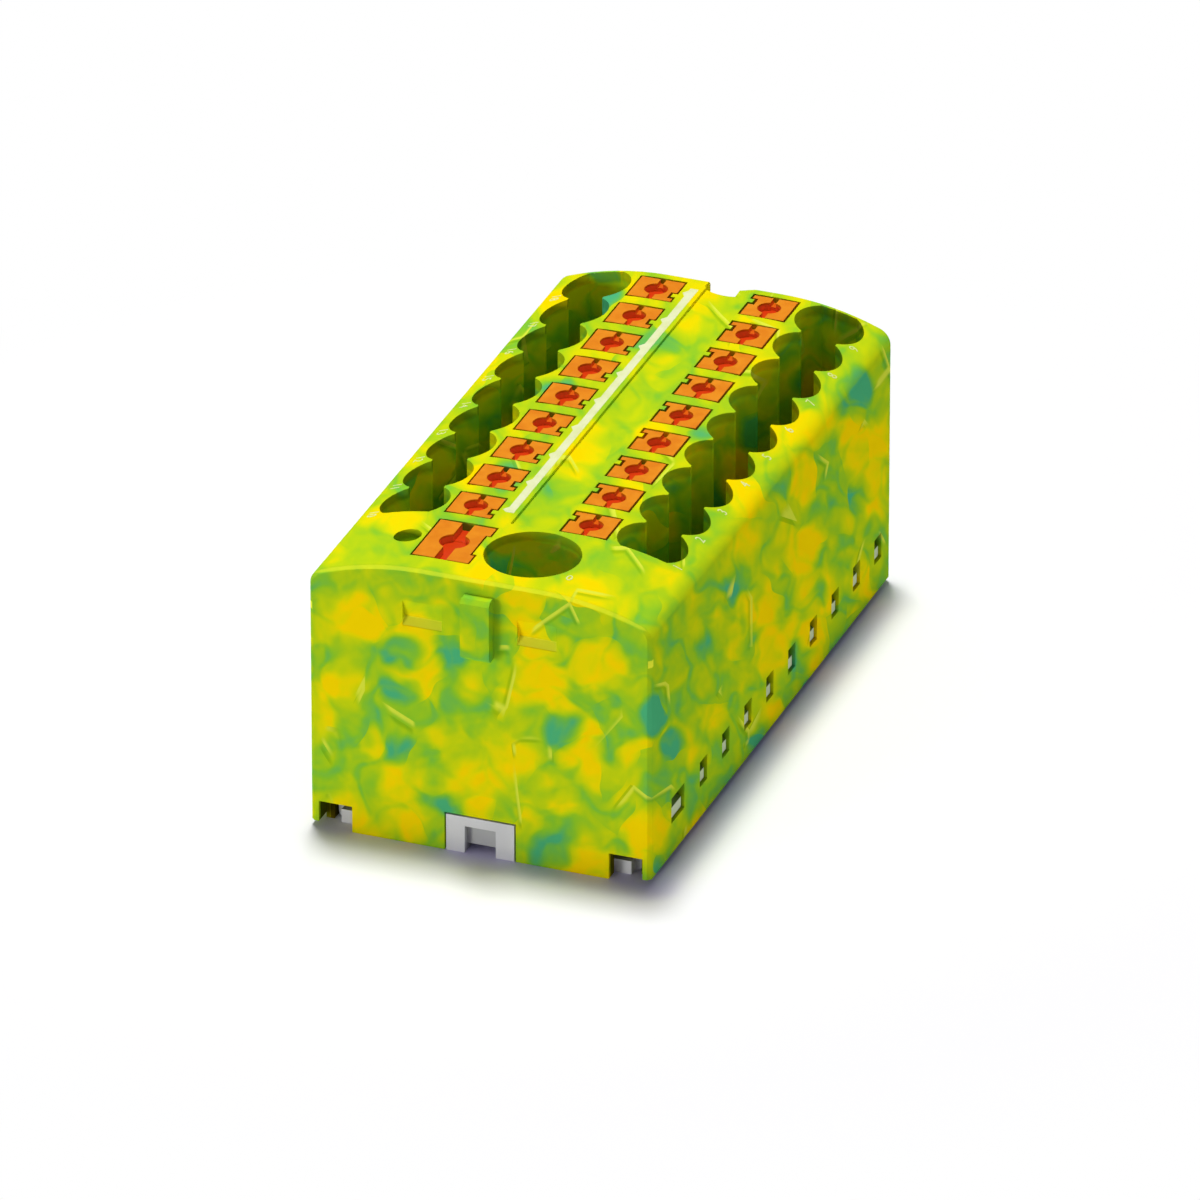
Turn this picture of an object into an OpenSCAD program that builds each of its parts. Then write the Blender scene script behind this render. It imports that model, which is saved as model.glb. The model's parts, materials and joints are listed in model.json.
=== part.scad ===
// Push-in power distribution block: a moulded housing with two rows of sprung
// push buttons, a scalloped trough of wire funnels beside each row, one supply
// terminal at the front end and a snap-in base cover.
// Millimetres. X runs across the rows, Y from the supply end to the far end, Z up.
// The origin is the middle of the face that the block stands on.

/* [Block] */
// Width across the two rows
body_w = 29.5; // [29:0.1:34]
// Height at the flat of the crown
body_h = 25.2; // [23:0.1:30]
// Half width of the flat strip along the crown
crown_flat = 5; // [4:0.1:7]
// Radius of the crown's shoulders
crown_r = 24.5; // [22:0.1:60]
// Round along the two long upper edges
edge_r = 1.5; // [0.4:0.1:1.6]
// Bevel round the edges of the two end faces
end_bevel = 0.3; // [0.1:0.05:0.35]
// Side wall thickness
side_wall = 1.4; // [1.2:0.05:1.6]
// End wall thickness
end_wall = 1.2; // [1:0.05:1.25]
// Height of the side walls' lower edge above the standing face
side_lift = 0.5; // [0.2:0.05:0.8]

/* [Terminal rows] */
// Terminals in each row
per_row = 9; // [2:1:12]
// Distance from one terminal to the next
pitch = 5.2; // [5.1:0.05:6]
// Supply end face to the middle of the first terminal
front_zone = 12.27; // [12:0.01:16]
// Middle of the last terminal to the far end face
rear_zone = 3; // [2.95:0.05:6]
// Wall between neighbouring terminals
partition = 1.2; // [0.8:0.05:1.3]
// Height of the ceiling over the spring chambers
ceiling_z = 13.4; // [12.8:0.1:14]

/* [Wire funnels] */
// Distance of the funnels from the middle plane
funnel_x = 10.3; // [10.2:0.05:10.6]
// Radius of one scallop of the trough
funnel_r = 2.9; // [2.75:0.05:2.95]
// Half width of the trough at the blunt cusps between two scallops
neck_x = 1.55; // [1.35:0.05:1.9]
// Height of the trough's floor
trough_z = 15.6; // [15.2:0.1:18]
// Radius of the wire hole below the funnel
wire_r = 1.8; // [1.2:0.05:1.9]
// Width of the funnel's rim on the trough's floor
funnel_rim = 0.4; // [0.35:0.05:0.7]
// Middle of the first terminal to the trough's flattened front end
trough_front = 2.1; // [1.95:0.05:2.6]
// Middle of the last terminal to the trough's flattened rear end
trough_rear = 2.45; // [2:0.05:2.6]

/* [Load buttons] */
// Distance of the buttons from the middle plane
button_x = 5; // [4.9:0.05:5.1]
// Button size across the rows
button_w = 3.8; // [3.4:0.05:3.9]
// Button size along the rows
button_l = 3.6; // [3.3:0.05:3.7]
// Gap between a button and its shaft
button_gap = 0.18; // [0.08:0.01:0.2]
// How far a load button travels
button_travel = 2; // [1:0.1:2.5]
// Depth of the keyway in a button's inner side
key_depth = 0.5; // [0.4:0.05:0.7]
// Length of the keyway
key_l = 1.1; // [0.9:0.05:1.4]
// Distance of the keyway from the button's middle
key_y = 0.7; // [0.4:0.05:0.9]
// Gap between a keyway and the shaft's guide rib
key_gap = 0.25; // [0.1:0.01:0.3]
// Width of the screwdriver slot in a load button
slot_w = 0.5; // [0.4:0.05:0.8]
// Depth of the screwdriver slot in a load button
slot_depth = 0.4; // [0.2:0.05:1.4]
// Radius of the round pocket in a load button
pocket_r = 1; // [0.7:0.05:1.2]
// Depth of the round pocket in every button
pocket_depth = 0.7; // [0.4:0.05:2.5]
// Height of a button's foot
foot_h = 1.4; // [1:0.1:1.6]
// How far the foot reaches under the ceiling on each side
foot_reach = 0.5; // [0.3:0.05:0.7]
// Gap between a button's foot and the ceiling, and the spring below it
foot_gap = 0.1; // [0.08:0.01:0.2]
// How far the buttons lie below the crown
button_sink = 0.04; // [0:0.01:0.2]
// Width of the ribs that stop a pressed button
stop_w = 1; // [0.6:0.05:1.4]
// How far a stop rib reaches under the foot
stop_reach = 0.2; // [0.1:0.01:0.25]

/* [Supply terminal] */
// Distance of the supply entry to the right of the middle plane
supply_x = 2.43; // [2.3:0.01:2.8]
// Supply end face to the middle of the supply entry
supply_zone = 5.72; // [5.65:0.01:6.2]
// Radius of the supply entry
supply_r = 4; // [3.5:0.05:4.05]
// Wall between the supply entry and the recess in the supply button's side
supply_web = 0.75; // [0.5:0.05:0.9]
// Length of that recess
supply_recess_l = 3.6; // [3:0.1:4]
// Distance of the supply button to the left of the middle plane
supply_button_x = 4.35; // [4.3:0.01:4.4]
// Supply button size across the rows
supply_button_w = 4.8; // [4.6:0.05:4.9]
// Supply button size along the rows
supply_button_l = 6.4; // [6:0.05:6.5]
// How far the supply button travels
supply_travel = 2.4; // [1:0.1:2.6]
// Radius of the round pocket in the supply button
supply_pocket_r = 1.25; // [0.9:0.05:1.5]
// Width of the screwdriver slot in the supply button
supply_slot_w = 1.05; // [0.6:0.05:1.2]
// Depth of the screwdriver slot in the supply button
supply_slot_depth = 0.65; // [0.4:0.05:1.4]
// Wall between the supply chamber and the first load chambers
supply_wall = 0.8; // [0.6:0.05:0.9]
// Distance of the test hole to the left of the middle plane
test_x = 8.4; // [8.2:0.05:9]
// Radius of the test hole
test_r = 1.15; // [0.8:0.05:1.2]

/* [Top and end faces] */
// Radius of the shallow marking dish along the crown
dish_r = 5.4; // [4.5:0.1:5.5]
// Depth of the dish
dish_depth = 0.55; // [0.3:0.05:0.55]
// Distance of the dish's deepest line to the right of the middle plane
dish_x = 0.45; // [0.2:0.05:0.5]
// Distance of the dish's straight edge to the left of the middle plane
dish_edge_x = 1.2; // [0.8:0.05:1.3]
// How far the dish starts ahead of the first buttons
dish_lead = 0.3; // [0:0.05:0.4]
// Width of the joining rib at its outer face
rib_w = 2.5; // [2:0.05:3]
// Width of the joining rib at its root
rib_root_w = 2.4; // [2:0.05:2.5]
// How far the joining rib stands out
rib_out = 1.15; // [0.8:0.05:1.2]
// Bevel at the joining rib's two ends
rib_bevel = 0.35; // [0.2:0.05:0.5]
// Height of the joining rib's lower end
rib_low_z = 18.3; // [16:0.1:20]
// How far the joining rib's upper end lies below the crown
rib_drop = 1.4; // [1:0.1:2.5]
// Gap round a neighbour's rib in the joining slot
rib_gap = 0.1; // [0.05:0.01:0.1]
// Width of a pry recess in an end face
pry_w = 3.4; // [2.5:0.1:3.8]
// Height of a pry recess
pry_h = 2.3; // [1.5:0.1:3]
// Depth of a pry recess above its sloping lower edge
pry_depth = 0.6; // [0.3:0.05:1]
// Distance of the pry recesses from the middle plane
pry_x = 4.95; // [4.4:0.05:6]
// Height of the pry recesses' lower edge
pry_z = 19.9; // [18:0.1:20.5]

/* [Base cover] */
// Thickness of the base plate
base_t = 1.2; // [1.1:0.05:1.6]
// Round along the base plate's long lower edges
base_round = 0.5; // [0.3:0.05:1.05]
// Width of the relief at the base plate's corners
base_relief_w = 0.6; // [0.2:0.05:0.8]
// Length of that relief
base_relief_l = 0.9; // [0.4:0.05:1]
// Gap between the base cover and the housing
base_gap = 0.15; // [0.1:0.01:0.25]
// Width of an end tab
tab_w = 5.9; // [4.5:0.05:7]
// Height of an end tab
tab_h = 3.3; // [3:0.05:3.6]
// Width of the notch in an end tab
tab_notch_w = 2.7; // [1.5:0.05:3]
// Height of the notch in an end tab
tab_notch_h = 2.45; // [1.9:0.05:2.6]
// Depth of the notch in an end tab
tab_notch_depth = 0.7; // [0.4:0.05:0.8]
// Depth of the pry slot under the base plate
pry_slot_depth = 2.5; // [1.8:0.1:4]
// Height of the pry slot
pry_slot_h = 0.6; // [0.3:0.05:0.8]
// Width of a corner notch in an end wall
corner_w = 2.9; // [2:0.05:3.2]
// Height of a corner notch
corner_h = 2.35; // [1.9:0.05:2.4]
// Width of the corner posts beside the corner notches
post_w = 0.7; // [0.5:0.05:0.9]

/* [Latches] */
// Width of a latch window at a terminal
window_w = 1.7; // [1.4:0.05:2.2]
// Width of the latch window beside the supply terminal
window_front_w = 3; // [2.4:0.05:4]
// Supply end face to the middle of that window
window_front_zone = 6.33; // [4.5:0.01:7.5]
// Height of the latch windows' lower edge
window_z = 3.3; // [3.2:0.05:3.6]
// Height of a latch window
window_h = 2.3; // [2:0.05:2.6]
// Thickness of a latch arm
arm_t = 0.5; // [0.4:0.05:0.6]
// How far a latch nose stops short of the housing's side face
nose_short = 0.25; // [0.05:0.05:0.6]
// Height of a latch nose's blunt end
nose_blunt = 0.9; // [0.3:0.05:1.1]
// Height of a latch nose at its arm
nose_h = 1.7; // [1.2:0.05:1.8]

/* [Contacts] */
// Thickness of the busbar sheet
bus_t = 0.7; // [0.5:0.05:0.8]
// Width of a load tongue
tongue_w = 3.2; // [2.4:0.1:3.2]
// Gap between a tongue and its latch arm
tongue_gap = 0.2; // [0.1:0.05:0.25]
// Height of the tongues' upper ends
tongue_z = 12.4; // [11:0.1:12.6]
// Width of the supply tongue
supply_tongue_w = 6; // [4:0.1:6.4]
// Thickness of the spring strip
spring_t = 0.35; // [0.2:0.05:0.45]
// Width of a load spring
spring_w = 3; // [2:0.1:3.1]
// Outer radius of a load spring's bend
bend_r = 1.25; // [1:0.05:1.3]
// Slope of the springs' clamping legs in degrees
clamp_slope = 34; // [30:1:38]
// Width of the supply spring
supply_spring_w = 5.4; // [4:0.1:6]
// Outer radius of the supply spring's bend
supply_bend_r = 1.6; // [1.2:0.05:1.8]
// Gap between a clamping leg's edge and its tongue
clamp_gap = 0.5; // [0.3:0.05:1.5]

/* [Hidden] */
$fn = 64;
eps = 0.5;
arc_steps = 12;

body_l = front_zone + (per_row - 1) * pitch + rear_zone;
front_y = -body_l / 2;
rear_y = body_l / 2;
row_y = front_y + front_zone;
supply_y = front_y + supply_zone;

// Inner face of the side walls, and the base cover's fit below the chambers
inner_x = body_w / 2 - side_wall;
inner_l = body_l - 2 * end_wall;
bus_z = base_t;
chamber_z = bus_z + bus_t + foot_gap;

// Chambers for the springs and contacts
chamber_l = pitch - partition;
chamber_in_x = button_x - button_w / 2 - foot_reach - button_gap - spring_t;
chamber_front_y = front_y + end_wall;
supply_back_y = row_y - chamber_l / 2 - supply_wall;
supply_tongue_x = supply_x + supply_r + tongue_gap;
supply_out_x = supply_tongue_x + bus_t + tongue_gap;
test_tongue_x = test_x + test_r;
supply_in_x = test_tongue_x + bus_t + tongue_gap;
supply_heel_x = supply_button_x + supply_button_w / 2 + foot_reach;

// Heights of the buttons and what they press on
button_top_z = body_h - button_sink;
foot_top_z = ceiling_z - foot_gap;
foot_z = foot_top_z - foot_h;
spring_top_z = foot_z - foot_gap;

// Latch arms stand just inside the side walls, and the tongues inside the arms
arm_out_x = inner_x - base_gap;
arm_in_x = arm_out_x - arm_t;
tongue_x = arm_in_x - tongue_gap - bus_t;
window_front_y = front_y + window_front_zone;

// Node names: the load terminals count up along the right row, then the left
loads = 2 * per_row;
function two_digits(n) = n < 10 ? str("0", n) : str(n);
function load_name(part, i) = str(part, two_digits(i + 1));
function load_y(i) = row_y + (i % per_row) * pitch;
function load_turn(i) = i < per_row ? 0 : 180;

// Places its children at load terminal i, with local +X pointing outward
module at_load(i) {
    translate([0, load_y(i), 0])
        rotate([0, 0, load_turn(i)])
            children();
}

// A rectangle from corner to corner
module span(x0, x1, y0, y1) {
    translate([x0, y0])
        square([x1 - x0, y1 - y0]);
}

// Extrudes a plan between two heights
module plan(z0, z1) {
    translate([0, 0, z0])
        linear_extrude(z1 - z0)
            children();
}

// Extrudes an X-Z section between two places along Y
module section(y0, y1) {
    translate([0, y1, 0])
        rotate([90, 0, 0])
            linear_extrude(y1 - y0)
                children();
}

// Lengthwise outline from an axis along Y out to a face, bevelled at both ends
module lengthwise(from, to) {
    polygon([
        [from, front_y],
        [to - end_bevel, front_y],
        [to, front_y + end_bevel],
        [to, rear_y - end_bevel],
        [to - end_bevel, rear_y],
        [from, rear_y]
    ]);
}

// A bar along Y with a round section, bevelled at both ends
module round_bar(x, z, r) {
    translate([x, 0, z])
        rotate([-90, 0, 0])
            rotate_extrude()
                lengthwise(0, r);
}

// One shoulder of the outer form: crown arc, edge round and straight side
module shoulder() {
    arc_z = body_h - crown_r;
    round_x = body_w / 2 - edge_r;
    round_z = arc_z + sqrt(pow(crown_r - edge_r, 2) - pow(round_x - crown_flat, 2));
    turn = atan2(round_z - arc_z, round_x - crown_flat);
    far = 2 * crown_r;
    intersection() {
        round_bar(crown_flat, arc_z, crown_r);
        section(front_y - eps, rear_y + eps)
            polygon([
                [crown_flat, 0],
                [crown_flat, far],
                [crown_flat + far * cos(turn), arc_z + far * sin(turn)],
                [round_x, round_z],
                [round_x, 0]
            ]);
    }
    intersection() {
        round_bar(round_x, round_z, edge_r);
        section(front_y - eps, rear_y + eps)
            polygon([
                [round_x, round_z],
                [round_x + far * cos(turn), round_z + far * sin(turn)],
                [round_x + far, round_z]
            ]);
    }
    plan(0, round_z)
        lengthwise(round_x, body_w / 2);
}

module outer_body() {
    rotate([0, -90, 0])
        linear_extrude(2 * crown_flat, center = true)
            lengthwise(0, body_h);
    shoulder();
    mirror([1, 0, 0])
        shoulder();
}

// Dovetail plan, narrow at the wall, standing out along -Y
module dovetail(root_w, out_w, out) {
    polygon([
        [-root_w / 2, eps],
        [-root_w / 2, 0],
        [-out_w / 2, -out],
        [out_w / 2, -out],
        [root_w / 2, 0],
        [root_w / 2, eps]
    ]);
}

// The rib on the front face that enters the next block's slot, bevelled at both ends
module joining_rib() {
    top_z = body_h - rib_drop;
    intersection() {
        translate([0, front_y, 0])
            plan(rib_low_z - eps, top_z + eps)
                dovetail(rib_root_w, rib_w, rib_out);
        translate([-rib_w, front_y, 0])
            rotate([90, 0, 90])
                linear_extrude(2 * rib_w)
                    polygon([
                        [2 * eps, rib_low_z],
                        [rib_bevel - rib_out, rib_low_z],
                        [-rib_out, rib_low_z + rib_bevel],
                        [-rib_out, top_z - rib_bevel],
                        [rib_bevel - rib_out, top_z],
                        [2 * eps, top_z]
                    ]);
    }
}

module joining_slot() {
    translate([0, rear_y, 0])
        plan(rib_low_z - rib_gap, body_h + eps)
            dovetail(rib_root_w + 2 * rib_gap, rib_w + 2 * rib_gap, rib_out + rib_gap);
}

// Plan of a load button with its keyway, grown by gap on every side
module load_button_plan(gap) {
    half_w = button_w / 2 + gap;
    half_l = button_l / 2 + gap;
    rib = key_depth - (gap > 0 ? key_gap : 0) + gap;
    rib_l = key_l - (gap > 0 ? 2 * key_gap : 0);
    difference() {
        span(button_x - half_w, button_x + half_w, -half_l, half_l);
        span(button_x - half_w - eps, button_x - half_w + rib, key_y - rib_l / 2, key_y + rib_l / 2);
    }
}

// Plan of the supply button, with a recess beside the supply entry
module supply_button_plan(gap, reach) {
    half_w = supply_button_w / 2 + gap;
    half_l = supply_button_l / 2 + gap;
    half_recess = supply_recess_l / 2 - gap;
    difference() {
        span(-supply_button_x - half_w - reach, -supply_button_x + half_w,
            supply_y - half_l - reach / 2, supply_y + half_l + reach / 2);
        span(supply_x - supply_r - supply_web + gap, supply_x,
            supply_y - half_recess, supply_y + half_recess);
    }
}

// Strip that the trough's flattened ends leave to the scallops and funnels
module trough_strip() {
    span(funnel_x - 2 * funnel_r, funnel_x + 2 * funnel_r,
        row_y - trough_front, row_y + (per_row - 1) * pitch + trough_rear);
}

// Wavy plan of one trough: overlapping scallops, one per terminal
module trough_plan() {
    intersection() {
        union() {
            for (k = [0 : per_row - 1])
                translate([funnel_x, row_y + k * pitch])
                    circle(funnel_r);
            span(funnel_x - neck_x, funnel_x + neck_x, row_y, row_y + (per_row - 1) * pitch);
        }
        trough_strip();
    }
}

// The funnels in the trough's floor, narrowing to the wire holes
module wire_funnels() {
    rim_r = funnel_r - funnel_rim;
    hole_top_z = trough_z - (rim_r - wire_r);
    lip = funnel_rim / 4;
    intersection() {
        for (k = [0 : per_row - 1])
            translate([funnel_x, row_y + k * pitch, hole_top_z])
                cylinder(h = rim_r - wire_r + lip, r1 = wire_r, r2 = rim_r + lip);
        plan(ceiling_z, body_h)
            trough_strip();
    }
    for (k = [0 : per_row - 1])
        translate([funnel_x, row_y + k * pitch, ceiling_z - eps])
            cylinder(h = hole_top_z - ceiling_z + eps + lip, r = wire_r);
}

module latch_windows() {
    for (k = [0 : per_row - 1])
        translate([row_y + k * pitch, window_z])
            span(-window_w / 2, window_w / 2, 0, window_h);
    translate([window_front_y, window_z])
        span(-window_front_w / 2, window_front_w / 2, 0, window_h);
}

module housing() {
    color("yellowgreen")
    difference() {
        union() {
            outer_body();
            joining_rib();
        }
        housing_chambers();
        housing_top();
        housing_ends();
        housing_sides();
    }
}

// A spring chamber of the given plan, with a rib at each end of the foot that stops the button
module chamber(stop_z, foot_x, foot_l) {
    plan(stop_z, ceiling_z)
        children();
    plan(chamber_z - eps, stop_z + eps)
        difference() {
            children();
            for (end = [-1, 1])
                translate([foot_x, end * (foot_l / 2 - stop_reach + foot_l / 2)])
                    square([stop_w, foot_l], center = true);
        }
}

// Hollows that open downward: the base cover's seat and one chamber per terminal
module housing_chambers() {
    core_x = chamber_in_x - partition;
    core_z = body_h - dish_depth - 2 * side_wall;
    plan(-eps, chamber_z)
        span(-inner_x, inner_x, -inner_l / 2, inner_l / 2);
    for (i = [0 : loads - 1])
        at_load(i)
            chamber(foot_z - button_travel - foot_gap, button_x, button_l)
                span(chamber_in_x, inner_x, -chamber_l / 2, chamber_l / 2);
    translate([0, supply_y, 0])
        chamber(foot_z - supply_travel - foot_gap, -supply_button_x, supply_button_l + foot_reach)
            span(-supply_in_x, supply_out_x, chamber_front_y - supply_y, supply_back_y - supply_y);
    plan(chamber_z - eps, core_z)
        span(-core_x, core_x, row_y - chamber_l / 2, rear_y - end_wall - rib_out - side_wall);
    plan(chamber_z - eps, trough_z)
        span(supply_out_x + side_wall, inner_x, chamber_front_y, supply_back_y);
    plan(chamber_z - eps, ceiling_z)
        span(-inner_x, -supply_in_x - partition, chamber_front_y, supply_back_y);
}

// Cuts from above: shafts, troughs with their funnels, the entries and the marking dish
module housing_top() {
    top_z = body_h + eps;
    for (i = [0 : loads - 1])
        at_load(i)
            plan(ceiling_z - eps, top_z)
                load_button_plan(button_gap);
    for (side = [0, 1])
        mirror([side, 0, 0]) {
            plan(trough_z, top_z)
                trough_plan();
            wire_funnels();
        }
    plan(ceiling_z - eps, top_z)
        supply_button_plan(button_gap, 0);
    translate([supply_x, supply_y, ceiling_z - eps])
        cylinder(h = top_z - ceiling_z + eps, r = supply_r);
    translate([-test_x, supply_y, ceiling_z - eps])
        cylinder(h = top_z - ceiling_z + eps, r = test_r);
    section(row_y - button_l / 2 - dish_lead, rear_y + eps)
        intersection() {
            translate([dish_x, body_h - dish_depth + dish_r])
                circle(dish_r);
            span(-dish_edge_x, body_w / 2, 0, top_z);
        }
}

// Cuts in the end faces: joining slot, wedge-shaped pry recesses, tab windows and corner notches
module housing_ends() {
    joining_slot();
    for (x = [-pry_x, pry_x])
        translate([x - pry_w / 2, front_y, pry_z])
            rotate([90, 0, 90])
                linear_extrude(pry_w)
                    polygon([[-eps, -eps], [pry_depth, pry_depth], [0, pry_h], [-eps, pry_h]]);
    for (y = [front_y, rear_y - end_wall])
        section(y - eps, y + end_wall + eps) {
            half_tab = tab_w / 2 + base_gap;
            corner_x = body_w / 2 - post_w;
            span(-half_tab, half_tab, -eps, tab_h + base_gap);
            for (side = [-1, 1])
                translate([side * (corner_x - corner_w / 2), 0])
                    span(-corner_w / 2, corner_w / 2, -eps, corner_h);
        }
}

// Cuts in the side walls: the raised lower edge and the latch windows
module housing_sides() {
    for (side = [0, 1])
        mirror([side, 0, 0]) {
            plan(-eps, side_lift)
                span(body_w / 2 - post_w, body_w / 2 + eps, front_y - eps, rear_y + eps);
            translate([inner_x - eps, 0, 0])
                rotate([90, 0, 90])
                    linear_extrude(side_wall + 2 * eps)
                        latch_windows();
        }
}

// One latch: an upright arm with a nose that snaps into its window
module latch(width) {
    nose_x = body_w / 2 - nose_short;
    nose_z = window_z + base_gap;
    section(-width / 2, width / 2) {
        span(arm_in_x, arm_out_x, base_t - eps, nose_z + nose_h);
        polygon([
            [arm_out_x - arm_t / 2, nose_z],
            [nose_x, nose_z],
            [nose_x, nose_z + nose_blunt],
            [arm_out_x, nose_z + nose_h],
            [arm_out_x - arm_t / 2, nose_z + nose_h]
        ]);
    }
}

// Section of the base plate, round along its long lower edges
module base_section() {
    half_w = inner_x - base_gap;
    span(-half_w, half_w, base_round, base_t);
    span(-half_w + base_round, half_w - base_round, 0, base_round);
    for (side = [-1, 1])
        intersection() {
            translate([side * (half_w - base_round), base_round])
                circle(base_round);
            translate([side * (half_w - base_round / 2), base_round / 2])
                square(base_round, center = true);
        }
}

// Tab that fills an end wall's window, with a notch for a lifting blade
module end_tab() {
    difference() {
        union() {
            section(front_y, front_y + end_wall)
                span(-tab_w / 2, tab_w / 2, 0, tab_h);
            section(front_y, front_y + end_wall + base_gap + eps)
                span(-tab_w / 2, tab_w / 2, 0, base_t);
        }
        section(front_y - eps, front_y + tab_notch_depth)
            span(-tab_notch_w / 2, tab_notch_w / 2, -eps, tab_notch_h);
    }
}

module base_cover() {
    color("lightgray")
    difference() {
        union() {
            section(-inner_l / 2 + base_gap, inner_l / 2 - base_gap)
                base_section();
            for (turn = [0, 180])
                rotate([0, 0, turn])
                    end_tab();
            for (side = [0, 1])
                mirror([side, 0, 0]) {
                    for (k = [0 : per_row - 1])
                        translate([0, row_y + k * pitch, 0])
                            latch(window_w - 2 * base_gap);
                    translate([0, window_front_y, 0])
                        latch(window_front_w - 2 * base_gap);
                }
        }
        for (turn = [0, 180])
            rotate([0, 0, turn])
                section(front_y - eps, front_y + end_wall + pry_slot_depth)
                    span(-tab_notch_w / 2, tab_notch_w / 2, -eps, pry_slot_h);
        for (x = [-arm_out_x, arm_out_x], y = [-inner_l / 2 + base_gap, inner_l / 2 - base_gap])
            translate([x, y, base_t / 2])
                cube([2 * base_relief_w, 2 * base_relief_l, 2 * base_t], center = true);
    }
}

// Folded sheet: a plate along the block with a tongue turned up at each terminal
module busbar() {
    color("silver") {
        plate_x = tongue_x + bus_t;
        plan(bus_z, bus_z + bus_t) {
            span(-plate_x, plate_x, row_y - tongue_w / 2, row_y + (per_row - 1) * pitch + tongue_w / 2);
            span(-supply_heel_x, supply_tongue_x + bus_t, supply_y - supply_tongue_w / 2, row_y);
            span(-test_tongue_x - bus_t, 0, supply_y - test_r, supply_y + test_r);
        }
        for (i = [0 : loads - 1])
            at_load(i)
                plan(bus_z + bus_t / 2, tongue_z)
                    span(tongue_x, plate_x, -tongue_w / 2, tongue_w / 2);
        translate([0, supply_y, 0])
            plan(bus_z + bus_t / 2, tongue_z)
                span(supply_tongue_x, supply_tongue_x + bus_t, -supply_tongue_w / 2, supply_tongue_w / 2);
        translate([-test_tongue_x, supply_y, 0])
            plan(bus_z + bus_t / 2, tongue_z)
                span(-bus_t, 0, -test_r, test_r);
    }
}

// A moulded push button: its plan drawn down to a foot that stops under the ceiling
module load_button(i) {
    color("darkorange")
    at_load(i)
    difference() {
        union() {
            plan(foot_z, button_top_z)
                load_button_plan(0);
            plan(foot_z, foot_top_z)
                span(button_x - button_w / 2 - foot_reach, button_x + button_w / 2 + foot_reach,
                    -button_l / 2, button_l / 2);
        }
        button_drive(button_x, 0, button_l, slot_w, slot_depth, pocket_r);
    }
}

module supply_button() {
    color("darkorange")
    difference() {
        union() {
            plan(foot_z, button_top_z)
                supply_button_plan(0, 0);
            plan(foot_z, foot_top_z)
                supply_button_plan(0, foot_reach);
        }
        button_drive(-supply_button_x, supply_y, supply_button_l,
            supply_slot_w, supply_slot_depth, supply_pocket_r);
    }
}

// Screwdriver slot along a button, with a round pocket in its middle
module button_drive(x, y, length, width, depth, r) {
    translate([x, y, 0]) {
        plan(button_top_z - depth, button_top_z + eps)
            span(-width / 2, width / 2, -length / 2 - eps, length / 2 + eps);
        translate([0, 0, button_top_z - pocket_depth])
            cylinder(h = pocket_depth + eps, r = r);
    }
}

// Points along an arc about the origin, from one angle to another
function arc(r, from, to) = [for (k = [0 : arc_steps]) let (a = from + (to - from) * k / arc_steps)
    [r * cos(a), r * sin(a)]];

// Side view of a leg spring: upright leg, bend under the button's foot, clamping leg
module spring_section(heel_x, edge_x, r) {
    bend = [heel_x + r, spring_top_z - r];
    inner_r = r - spring_t;
    leaves = 90 - clamp_slope;
    leg = (edge_x - bend[0] - r * cos(leaves)) / cos(clamp_slope);
    along = leg * [cos(clamp_slope), -sin(clamp_slope)];
    polygon(concat(
        [[heel_x, chamber_z]],
        [for (p = arc(r, 180, leaves)) bend + p],
        [bend + r * [cos(leaves), sin(leaves)] + along],
        [bend + inner_r * [cos(leaves), sin(leaves)] + along],
        [for (p = arc(inner_r, leaves, 180)) bend + p],
        [[heel_x + spring_t, chamber_z]]
    ));
}

module load_spring(i) {
    color("gainsboro")
    at_load(i)
        section(-spring_w / 2, spring_w / 2)
            spring_section(chamber_in_x + foot_gap, tongue_x - clamp_gap, bend_r);
}

module supply_spring() {
    color("gainsboro")
    translate([0, supply_y, 0])
        section(-supply_spring_w / 2, supply_spring_w / 2)
            spring_section(-supply_heel_x, supply_tongue_x - clamp_gap, supply_bend_r);
}

housing();
base_cover();
busbar();
supply_button();
supply_spring();
for (i = [0 : loads - 1]) {
    load_button(i);
    load_spring(i);
}
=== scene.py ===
import json
import math

import bmesh
import bpy
from mathutils import Matrix, Vector


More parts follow.
